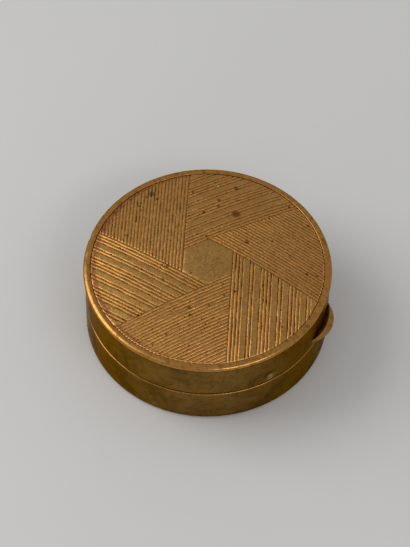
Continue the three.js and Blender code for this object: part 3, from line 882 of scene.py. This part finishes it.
def field_points(field):
    """Points of one field, row by row, with the depth of the lines there and whether there is a line."""
    along, aside = field_axes(field)
    points, depths, lined = [], [], []
    for y, line, share, in_line in field_rows(field % 2):
        xs = row_places(y)
        for x in xs:
            gap, to_edge = (x - xs[0]) * math.sin(FIELD_ANGLE), xs[-1] - x
            fade = min(1, gap / WOBBLE_FADE, to_edge / WOBBLE_FADE)
            wobble = wave(x, WOBBLE_SEEDS[0] * line, WOBBLE_SEEDS[1] * field, WOBBLE_LENGTH)
            ripple = wobble * LINE_WOBBLE * fade if line > 0 else 0
            own = min(full_depth(field, line, x) * share, FIRST_LINE_DEPTH + gap * RUN_IN_SLOPE)
            depth = max(own, FIRST_LINE_DEPTH * line_depth(gap / LINE_WIDTH))
            points.append(x * along + (y + ripple) * aside)
            depths.append(depth * min(1, to_edge / NEAR_END[-2]))
            lined.append(max(in_line, 1 - gap / LINE_WIDTH))
    return points, depths, lined


def hexagon_points():
    """Points of the bare hexagon in the middle, ring by ring, with the depth of the lines round it."""
    points, depths = [], []
    for inset in HEXAGON_INSETS:
        apothem = APOTHEM - inset
        half = apothem * math.tan(FIELD_ANGLE / 2)
        for side in range(FIELDS):
            along, aside = field_axes(side)
            for k in range(HEXAGON_SIDE_STEPS):
                points.append((half - 2 * half * k / HEXAGON_SIDE_STEPS) * along + apothem * aside)
                depths.append(FIRST_LINE_DEPTH * line_depth(inset / LINE_WIDTH))
    return points + [np.zeros(2)], depths + [0.0]


def points_between(border, beside, places):
    """For each edge of a border, the points of the border beside it that lie in the edge."""
    extra = {}
    for a, b in zip(border, border[1:]):
        inside = [p for p in beside if places[a] + SAME_PLACE < places[p] < places[b] - SAME_PLACE]
        extra[a, b], extra[b, a] = inside, inside[::-1]
    return extra


def with_points(faces, extra):
    """Faces with more points put into the edges that have them."""
    return [tuple(p for a, b in zip(face, face[1:] + face[:1]) for p in (a, *extra.get((a, b), ())))
            for face in faces]


def sewn_fields(faces, flat, fields, hexagon):
    """The faces of the fields and the hexagon, with each border's points put into the border beside it.

    A field's first row lies against a side of the hexagon, and then against the starts of the rows of the
    field before it.
    """
    extra = {}
    for field in range(FIELDS):
        places = flat @ field_axes(field)[0]
        row = fields[field][0].tolist()
        column = fields[field - 1][:, 0].tolist()
        side = [int(hexagon[(field + 1) % FIELDS][0])] + hexagon[field][::-1].tolist()
        extra.update(points_between(row, side + column, places))
        extra.update(points_between(side, row, places))
        extra.update(points_between(column, row, places))
    return with_points(faces, extra)


def panel_underside(outer, turns, first):
    """Points and faces of the panel's edge and plain underside, below the outer points of its top."""
    count = len(outer)
    radii = np.linspace(PANEL_EDGE, 0, UNDERSIDE_RINGS + 1)[:-1]
    points = [polar(r, t, panel_height(r) - PANEL_THICKNESS) for r in radii for t in turns]
    points.append((0, 0, PANEL_TOP - PANEL_THICKNESS))
    faces = [(outer[(k + 1) % count], outer[k], first + k, first + (k + 1) % count) for k in range(count)]
    faces += grid_faces(first, UNDERSIDE_RINGS, count, wrap=True)
    last = first + (UNDERSIDE_RINGS - 1) * count
    return points, faces + fan_faces(last, count, last + count)


def edge_drop(radius):
    """How far the panel's rounded edge has fallen away at a distance from the axis."""
    inside = np.clip(radius - (PANEL_EDGE - PANEL_EDGE_RADIUS), 0, PANEL_EDGE_RADIUS)
    return PANEL_EDGE_RADIUS - np.sqrt(np.maximum(PANEL_EDGE_RADIUS ** 2 - inside ** 2, 0))


def edge_looks(flat, inwards):
    """The panel's brink, pale from rubbing and a painted highlight, and the dirt inside it, growing to the
    photograph's left.
    """
    brink_wear_and_highlight = np.clip((BRINK_REACH - inwards) / BRINK_FADE, 0, 1)
    to_right = flat @ np.array(camera_axes()[0][:2]) / PANEL
    left_side = np.clip(EDGE_DIRT - EDGE_DIRT_RISE * to_right, 0, 1)
    reach = EDGE_DIRT_REACH + EDGE_DIRT_MORE * left_side
    past_brink = np.clip((inwards - BRINK_FADE) / BRINK_FADE, 0, 1)
    return brink_wear_and_highlight, np.clip((reach - inwards) / EDGE_DIRT_FADE, 0, 1) * past_brink * left_side


def engine_turned_panel():
    """The domed disc with its six fields of lines, its rounded edge and its plain underside."""
    flat, depths, lined, faces, fields = [], [], [], [], []
    for field in range(FIELDS):
        points, deep, in_line = field_points(field)
        fields.append(np.arange(len(flat), len(flat) + len(points)).reshape(-1, FIELD_WIDTH))
        faces += grid_faces(len(flat), len(points) // FIELD_WIDTH, FIELD_WIDTH)
        flat += points
        depths += deep
        lined += in_line
    first, rings, ring = len(flat), len(HEXAGON_INSETS), FIELDS * HEXAGON_SIDE_STEPS
    points, deep = hexagon_points()
    faces += grid_faces(first, rings, ring, wrap=True)
    faces += fan_faces(first + (rings - 1) * ring, ring, first + rings * ring)
    flat, depths = np.array(flat + points), np.array(depths + deep)
    faces = sewn_fields(faces, flat, fields, np.arange(first, first + ring).reshape(FIELDS, -1))
    radius = np.hypot(flat[:, 0], flat[:, 1])
    height = panel_height(radius) - depths - edge_drop(radius)
    brink_wear_and_highlight, dirt = edge_looks(flat, PANEL_EDGE - radius)
    outer = [int(index) for rows in fields for index in rows[:-1, -1]]
    below, under_faces = panel_underside(outer, np.arctan2(flat[outer, 1], flat[outer, 0]), len(flat))
    ones = np.ones(len(below))
    attributes = {
        "groove": np.concatenate([np.clip(depths / DENSE_DEPTH, 0, 1), ones]),
        "lined": np.concatenate([lined, np.array(deep) > 0, ones]),
        "ring": np.concatenate([dirt, ones]),
        "brink_wear_and_highlight": np.concatenate([brink_wear_and_highlight, 0 * ones]),
    }
    points = np.vstack([np.column_stack([flat, height]), below])
    return piece("lid_panel_engraved", points, faces + under_faces, attributes, sharp_angle=80)


# Case


def wall_waves(angle, height):
    """How far the slight waves of a drawn wall go inwards."""
    return min(WAVINESS * wave(*polar(WALL, angle, height), WAVE_LENGTH), 0)


def bruise(radius, height, angle):
    """The lid's small dent above the seam, the nick in its rim and the slight waves of its wall."""
    if radius < (WALL_INSIDE + WALL) / 2:
        return radius, height
    across = math.remainder(angle - DENT_ANGLE, math.tau) * WALL
    away = math.hypot(across, height - DENT_HEIGHT) / DENT_RADIUS
    dent = DENT_DEPTH * max(0, 1 - away * away) ** 2
    nick_away = abs(math.remainder(angle - NICK_ANGLE, math.tau)) * RIM / NICK_WIDTH
    nick = NICK_DEPTH * max(0, 1 - nick_away ** 2) if height > RIM_HEIGHT - RIM_RADIUS else 0
    return radius - dent - nick + wall_waves(angle, height), height


def base_waves(radius, height, angle):
    """Slight waves in the base's wall."""
    if radius < WALL_INSIDE or height < FOOT_RADIUS:
        return radius, height
    return radius + wall_waves(angle, height + BASE_WAVE_SHIFT), height


def lid_outline():
    """From the axis under the lid's top, round its skirt and its rim and back over the panel's recess."""
    inner = [(r, LID_TOP - SHEET - dome_drop(r)) for r in np.linspace(0, WALL_INSIDE, DOME_POINTS)]
    skirt = rounded([inner[-1], (WALL_INSIDE, LID_EDGE, SMALL), (WALL, LID_EDGE, EDGE_RADIUS),
                     (WALL, RIM_HEIGHT - RIM_RADIUS)])
    rim_width = RIM_RADIUS * RIM_FLATNESS
    meets_wall = -math.acos(1 - (RIM - WALL) / rim_width)
    rim = [(RIM - rim_width + rim_width * math.cos(t), RIM_HEIGHT + RIM_RADIUS * math.sin(t))
           for t in np.linspace(meets_wall, math.pi / 2, RIM_STEPS + 1)]
    band = rounded([rim[-1], (RECESS, BAND_HEIGHT, RECESS_ROUNDING), (RECESS, LID_TOP - dome_drop(RECESS))])
    floor = [(r, LID_TOP - dome_drop(r)) for r in np.linspace(RECESS, 0, DOME_POINTS)[1:]]
    return subdivided(inner + skirt[1:-1] + rim[:-1] + band[1:] + floor, LID_STEP)


def base_outline():
    outline = rounded([
        (0, 0), (WALL, 0, FOOT_RADIUS), (WALL, BASE_TOP, EDGE_RADIUS),
        (WALL_INSIDE, BASE_TOP, BASE_INNER_ROUNDING), (WALL_INSIDE, SHEET, FOOT_RADIUS), (0, SHEET),
    ], FOOT_STEPS)
    return subdivided(outline, BASE_STEP)


# Hinge


def notch(obj, bottom, top):
    """Room for the hinge in a wall."""
    inner = math.sqrt(collar_high.x ** 2 - NOTCH_SIDE ** 2) - 2 * CLEARANCE
    low, high = (-NOTCH_SIDE, inner, bottom), (NOTCH_SIDE, RIM + CUT_MARGIN, top)
    middle = Vector([(a + b) / 2 for a, b in zip(low, high)])
    size = [(b - a) * MM for a, b in zip(low, high)]
    work = bmesh.new()
    bmesh.ops.create_cube(work, size=1, matrix=Matrix.Translation(middle * MM) @ Matrix.Diagonal((*size, 1)))
    cut_with(obj, work)


def along_hinge(name, outline, segments):
    """A turned piece that lies along the hinge's axis."""
    obj = turned(name, outline, segments)
    place = Matrix.Translation(Vector((0, HINGE_Y, HINGE_Z)) * MM) @ Matrix.Rotation(math.pi / 2, 4, "Y")
    obj.data.transform(place)
    return obj


def knuckle(name, start, stop):
    outline = box_outline(KNUCKLE_BORE, KNUCKLE_RADIUS, start, stop, KNUCKLE_CHAMFER, CHAMFER_STEPS)
    return along_hinge(name, outline, KNUCKLE_SEGMENTS)


def leaf_plate(name, bottom, rooms):
    """A leaf bent to the curve of the wall, with room for the other leaf's knuckles."""
    half = math.asin(HINGE_WIDTH / 2 / LEAF_OUTSIDE)
    inside, top = LEAF_OUTSIDE - LEAF_THICKNESS, bottom + LEAF_HEIGHT
    section = [(inside, bottom), (LEAF_OUTSIDE, bottom), (LEAF_OUTSIDE, top), (inside, top)]
    points = []
    for k in range(LEAF_STEPS + 1):
        angle = math.pi / 2 - half + 2 * half * k / LEAF_STEPS
        points += [polar(r, angle, z) for r, z in section]
    faces = tube_faces(0, LEAF_STEPS + 1, len(section))
    plate = piece(name, points, faces, {"edge": [LEAF_WEAR] * len(points)})
    for start, stop in rooms:
        work = bmesh.new()
        bmesh.ops.create_cone(work, cap_ends=True, segments=KNUCKLE_SEGMENTS, radius1=HINGE_ROOM * MM,
                              radius2=HINGE_ROOM * MM, depth=(stop - start) * MM)
        bmesh.ops.rotate(work, verts=work.verts, matrix=Matrix.Rotation(math.pi / 2, 3, "Y"))
        bmesh.ops.translate(work, verts=work.verts, vec=Vector(((start + stop) / 2, HINGE_Y, HINGE_Z)) * MM)
        cut_with(plate, work)
    return plate


def hinge_leaves(material):
    inner = LID_KNUCKLE / 2
    outer = inner + KNUCKLE_GAP
    end = HINGE_WIDTH / 2
    base = joined(leaf_plate("base_leaf", HINGE_Z - LEAF_HEIGHT, [(-outer, outer)]),
                  knuckle("knuckle_left", -end, -outer), knuckle("knuckle_right", outer, end))
    lid = joined(leaf_plate("lid_leaf", HINGE_Z, [(-2 * end, -inner), (inner, 2 * end)]),
                 knuckle("knuckle_middle", -inner, inner))
    tip = end + PIN_HEAD
    pin = along_hinge("pin", box_outline(0, PIN_RADIUS, -tip, tip, SMALL), PIN_SEGMENTS)
    dress(base, material, "base", "hinge_brass", "base_hinge_leaf")
    dress(lid, material, "lid", "hinge_brass", "lid_hinge_leaf")
    dress(pin, material, "base", "hinge_brass", "hinge_pin")


# Thumb tab


def tab_wear(share):
    """Edge value on the tab: rubbed on its lip, dirty along the wall."""
    if share > TAB_LIP:
        return TAB_LIP_WEAR
    return TAB_SEAM_WEAR if share < TAB_SEAM else TAB_WEAR


def thumb_tab():
    """A half-moon whose outer edge stands up in a rounded lip."""
    half, tip = tab_high.x, -tab_low.y
    height = tip - math.sqrt(TAB_SEAT ** 2 - half ** 2)
    moon = (half ** 2 + height ** 2) / (2 * height)
    thickness = tab_high.z - tab_low.z
    points = []
    for k in range(TAB_STATIONS + 1):
        x = half * math.sin(math.pi * (k / TAB_STATIONS - 0.5)) * TAB_REACH
        inner = -math.sqrt(TAB_SEAT ** 2 - x * x)
        outer = -tip + moon - math.sqrt(max(moon ** 2 - x * x, 0))
        for share, level in TAB_SECTION:
            points.append((x, inner + (outer - inner) * share, tab_low.z + thickness * level))
    faces = tube_faces(0, TAB_STATIONS + 1, len(TAB_SECTION))
    edge = [tab_wear(share) for share, _ in TAB_SECTION] * (TAB_STATIONS + 1)
    return piece("thumb_tab_lipped", points, faces, {"edge": edge}, sharp_angle=50)


# Inside of the case


def plain_turned(name, node, rounding, width=None):
    """A disc, or a ring of some width, with rounded corners and as large as its CAD node."""
    low, high = corners(node)
    return turned(name, box_outline(high.x - width if width else 0, high.x, low.z, high.z, rounding))


def base_collar():
    """The collar that the lid closes over, with its snap ridge and the pan's shelf."""
    outside = collar_high.x - SNAP_RIDGE
    inside = outside - COLLAR_THICKNESS
    pan_high = corners("powder_pan")[1]
    shelf_top = pan_high.z - PAN_SHEET - CLEARANCE
    shelf_bottom = shelf_top - SHELF_THICKNESS
    shelf_inside = pan_high.x - PAN_FLANGE + CLEARANCE
    middle = (BASE_TOP + collar_high.z) / 2
    half = SNAP_RIDGE_HEIGHT / 2
    outline = rounded([
        (inside, collar_low.z), (outside, collar_low.z),
        (outside, middle - half, SMALL), (collar_high.x, middle, MEDIUM), (outside, middle + half, SMALL),
        (outside, collar_high.z, SOFT), (inside, collar_high.z, MEDIUM),
        (inside, shelf_top, FINE), (shelf_inside, shelf_top, FINE),
        (shelf_inside, shelf_bottom, FINE), (inside, shelf_bottom, FINE)])
    collar = turned("base_collar_ring", outline, SHELL_SEGMENTS)
    notch(collar, HINGE_Z - LEAF_HEIGHT - CLEARANCE, collar_high.z + CUT_MARGIN)
    return collar


def mirror_ring():
    low, high = corners("mirror_ring")
    inside = high.x - MIRROR_RING_SHEET
    lip_inside, lip_top = inside - MIRROR_LIP, low.z + MIRROR_RING_SHEET
    outline = rounded([
        (lip_inside, low.z, SMALL), (high.x, low.z, BROAD), (high.x, high.z, FINE), (inside, high.z, FINE),
        (inside, lip_top), (lip_inside, lip_top, SMALL)])
    return turned("mirror_ring_lipped", outline, SHELL_SEGMENTS)


def powder_pan():
    low, high = corners("powder_pan")
    outside = high.x - PAN_FLANGE
    inside = outside - PAN_SHEET
    under_flange, floor = high.z - PAN_SHEET, low.z + PAN_SHEET
    outline = rounded([
        (0, low.z), (outside, low.z, PAN_FOOT_RADIUS), (outside, under_flange, SMALL),
        (high.x, under_flange, FINE), (high.x, high.z, FINE), (inside, high.z, SOFT), (inside, floor, BROAD),
        (0, floor)])
    return turned("powder_pan_stamped", outline)


def swelled(points, faces, sewn):
    """Where the points of a slack closed pad, in millimetres, are after a cloth simulation has filled it.

    The sewn points keep their places.
    """
    unit = MM * SIMULATION_SCALE
    pad = added("pad", new_mesh("pad", points, faces, unit))
    pad.vertex_groups.new(name="sewn").add(sewn, 1, "REPLACE")
    settings = pad.modifiers.new("cloth", "CLOTH").settings
    settings.vertex_group_mass = "sewn"
    settings.effector_weights.gravity = 0
    settings.use_pressure = True
    settings.uniform_pressure_force = PUFF_PRESSURE
    settings.bending_stiffness = PUFF_STIFFNESS
    for step in range(1, SIMULATION_FRAMES + 1):
        bpy.context.scene.frame_set(step)
    filled = pad.evaluated_get(bpy.context.evaluated_depsgraph_get()).data
    moved = np.array([v.co for v in filled.vertices]) / unit
    bpy.data.objects.remove(pad)
    bpy.context.scene.frame_set(1)
    return moved


def slack_pad(radius):
    """Points and faces of two round sheets that meet in a seam, with the seam's ring first."""
    turns = np.linspace(0, math.tau, PUFF_SEGMENTS, endpoint=False)
    points, faces = [polar(radius, t) for t in turns], []
    for side in (1, -1):
        last, sheet = 0, []
        for k in range(1, PUFF_RINGS):
            share = 1 - k / PUFF_RINGS
            height = side * PUFF_SLACK * math.sqrt(1 - share ** 2)
            here = len(points)
            for t in turns:
                x, y, _ = polar(radius * share, t)
                points.append((x, y, height + PUFF_UNEVENNESS * wave(x, y, 3 * PUFF_WAVE * side, PUFF_WAVE)))
            sheet += band_faces(last, here, PUFF_SEGMENTS, wrap=True)
            last = here
        sheet += fan_faces(last, PUFF_SEGMENTS, len(points))
        points.append((0, 0, side * PUFF_SLACK))
        faces += sheet if side > 0 else [face[::-1] for face in sheet]
    return np.array(points), faces


def puff():
    """A filled velour pad, flat where it rests on the powder, and the points and faces of its surface."""
    low, high = corners("puff_pad")
    points, faces = slack_pad(high.x)
    points = swelled(points, faces, list(range(0, PUFF_SEGMENTS, PUFF_SEGMENTS // EDGE_STITCHES)))
    points[:, :2] *= high.x / np.hypot(points[:, 0], points[:, 1]).max()
    seam = low.z + PUFF_SEAM
    points[:, 2] *= (high.z - seam) / points[:, 2].max()
    points[:, 2] = np.maximum(points[:, 2] + seam, low.z)
    pad = piece("puff_velour_pad", points, faces, sharp_angle=180)
    smooth = pad.modifiers.new("smooth", "SUBSURF")
    smooth.levels = smooth.render_levels = 1
    return pad, points, faces


def surface_height(surface, x, y):
    """Height of the puff's upper side at a point, in millimetres."""
    return surface.ray_cast(Vector((x, y, ABOVE_ALL)), Vector((0, 0, -1)))[0].z


def threads(name, paths):
    """Short lengths of sewing thread, each along a path of points in millimetres."""
    not_along = Vector((0.3, 0.2, 1))
    points, faces = [], []
    for path in paths:
        path = [Vector(p) for p in path]
        faces += tube_faces(len(points), len(path), THREAD_SIDES)
        for i, here in enumerate(path):
            along = (path[min(i + 1, len(path) - 1)] - path[max(i - 1, 0)]).normalized()
            side = along.cross(not_along).normalized()
            other = along.cross(side)
            size = THREAD * (THREAD_TIP if i in (0, len(path) - 1) else 1)
            for k in range(THREAD_SIDES):
                x, y, _ = polar(1, math.tau * k / THREAD_SIDES)
                points.append(here + size * (side * x + other * y))
    return piece(name, points, faces, sharp_angle=70)


def edge_stitches(points, surface):
    """Overcast stitches round the seam of the puff."""
    paths = []
    for k in range(EDGE_STITCHES):
        seam = Vector(points[k * PUFF_SEGMENTS // EDGE_STITCHES])
        level = Vector((seam.x, seam.y, 0))
        out = level.normalized()
        ahead = Vector((-out.y, out.x, 0)) * STITCH_SLANT
        path = []
        for share in STITCH_PLACES:
            place = level + (ahead - out) * STITCH_LENGTH * share
            place.z = surface_height(surface, place.x, place.y) + THREAD * THREAD_LIFT
            path.append(place)
        path.append(seam + out * THREAD / 2)
        path.append(seam - out * STITCH_BACK - Vector((0, 0, STITCH_DOWN)))
        paths.append(path)
    return threads("puff_edge_stitches", paths)


def near(values, index, reach):
    """The values at most that many places from one of them."""
    return values[max(index - reach, 0):index + reach + 1]


def ribbon_rows(surface):
    """Places along the ribbon and the height of its underside there, resting on the puff's highest points."""
    end = corners("puff_ribbon")[1].x
    xs = np.linspace(-end, end, RIBBON_STEPS + 1)
    across = np.linspace(-RIBBON_WIDTH / 2, RIBBON_WIDTH / 2, RIBBON_ACROSS + 1)
    rests = [max(surface_height(surface, x, y) for y in across) for x in xs]
    spread = [max(near(rests, i, RIBBON_SPAN)) for i in range(len(rests))]
    even = [float(np.mean(near(spread, i, RIBBON_SMOOTHING))) for i in range(len(spread))]
    arch = RIBBON_ARCH * (1 - (xs / end) ** 2)
    return xs, [max(z, rest) + RIBBON_GAP + rise for z, rest, rise in zip(even, rests, arch)]


def ribbon(xs, heights):
    """A ribbed satin ribbon across the puff's crown, with a thicker edge along each side."""
    half = RIBBON_WIDTH / 2
    under, top = [], []
    for x, height in zip(xs, heights):
        rib = RIBBON_RIB * math.cos(math.pi * RIBBON_RIBS * x / xs[-1])
        for s in np.linspace(-1, 1, RIBBON_ACROSS + 1):
            lift = RIBBON_CURL * (1 + wave(x, half * s, 2 * RIBBON_WAVE, RIBBON_WAVE)) * s * s
            under.append((x, half * s, height + lift))
            edge = SELVEDGE if abs(s) > SELVEDGE_START else rib
            top.append((x, half * s, height + lift + RIBBON_THICKNESS + edge))
    width, rows, count = RIBBON_ACROSS + 1, len(xs), len(top)
    faces = grid_faces(0, rows, width)
    faces += [tuple(i + count for i in reversed(face)) for face in faces]
    border = list(range(width)) + [i * width + width - 1 for i in range(1, rows)]
    border += [(rows - 1) * width + k for k in reversed(range(width - 1))]
    border += [i * width for i in reversed(range(1, rows - 1))]
    faces += [(b, a, a + count, b + count) for a, b in zip(border, border[1:] + border[:1])]
    return piece("puff_satin_ribbon", top + under, faces, sharp_angle=60)


def ribbon_stitches(xs, heights):
    """A row of small stitches across each end of the ribbon."""
    paths = []
    reach = RIBBON_WIDTH / 2 - RIBBON_STITCH_MARGIN
    for end, inwards in ((0, RIBBON_HEM), (-1, -RIBBON_HEM)):
        x, top = xs[end] + inwards, heights[end] + RIBBON_THICKNESS + SELVEDGE
        sunk = top - RIBBON_STITCH_SINK
        for y in np.linspace(-reach, reach, RIBBON_STITCHES):
            start = (x - RIBBON_STITCH, y - RIBBON_STITCH_SLANT, sunk)
            stop = (x + RIBBON_STITCH, y + RIBBON_STITCH_SLANT, sunk)
            paths.append([start, (x, y, top + RIBBON_STITCH_RISE), stop])
    return threads("puff_ribbon_stitches", paths)


# The whole scene

make_camera()
make_stage()

# Pale scuffs at the dent and the nick: bare gilding, also painted as glints
dent_scuff_and_glint = polar(WALL, DENT_ANGLE, DENT_HEIGHT - SCUFF_BELOW_DENT)
nick_scuff_and_glint = polar(RIM, NICK_ANGLE, RIM_HEIGHT)
scuffs_and_glints = [(dent_scuff_and_glint, SCUFF_RADIUS), (nick_scuff_and_glint, NICK_WIDTH / 2)]
gilt = aged_brass("gilt_brass", GILT_TONES_WITH_PAINTED_SHADE, roughness=0.24, handled_above=HANDLED_ABOVE, scuffs_and_glints=scuffs_and_glints)
inner = aged_brass("inner_brass", INNER_SHADES, roughness=0.24, grain=0.006)
hinge = aged_brass("hinge_brass", HINGE_SHADES, roughness=0.34)

lid = turned("lid_shell_drawn", lid_outline(), SHELL_SEGMENTS, bruise)
notch(lid, LID_EDGE - CUT_MARGIN, HINGE_Z + HINGE_ROOM)
base = turned("base_shell_drawn", base_outline(), SHELL_SEGMENTS, base_waves)
notch(base, HINGE_Z - HINGE_ROOM, BASE_TOP + CUT_MARGIN)
dress(lid, gilt, "lid", "gilt_brass", "lid_shell")
dress(base, gilt, "base", "gilt_brass", "base_shell")
panel_wear = [placed(spots) for spots in (DARK_SPOTS, DIRTY_LINES, RED_SPOTS, PALE_SPOTS, COPPER_PATCHES)]
dress(engine_turned_panel(), engraved_brass(*panel_wear), "lid", "engraved_brass", "lid_panel")
dress(thumb_tab(), gilt, "lid", "gilt_brass", "thumb_tab")
hinge_leaves(hinge)

dress(base_collar(), inner, "base", "inner_brass", "base_collar")
pan_ring = plain_turned("pan_ring_flat", "pan_ring", SMALL, PAN_RING_WIDTH)
pan = powder_pan()
cake = plain_turned("powder_cake_pressed", "powder_cake", MEDIUM)
glass = plain_turned("mirror_silvered", "mirror_glass", SMALL)
backing = plain_turned("mirror_card_back", "mirror_backing", CARD_ROUNDING)
dress(pan_ring, inner, "base", "inner_brass", "pan_ring")
dress(pan, stamped_tin(), "base", "pan_tin", "powder_pan")
dress(cake, pressed_powder(), "base", "pressed_powder", "powder_cake")
dress(glass, silvered_glass(), "lid", "mirror_glass", "mirror_glass")
dress(backing, card(), "lid", "mirror_card", "mirror_backing")
dress(mirror_ring(), inner, "lid", "inner_brass", "mirror_ring")

pad, pad_points, pad_faces = puff()
pad_surface = BVHTree.FromPolygons([Vector(p) for p in pad_points], pad_faces)
dress(pad, velour(), "base", "puff_velour", "puff_pad")
cotton = thread_cotton()
dress(edge_stitches(pad_points, pad_surface), cotton, "base", "puff_velour")
band_xs, band_heights = ribbon_rows(pad_surface)
band = dress(ribbon(band_xs, band_heights), satin(), "base", "puff_ribbon", "puff_ribbon")
sewing = dress(ribbon_stitches(band_xs, band_heights), cotton, "base", "puff_ribbon")
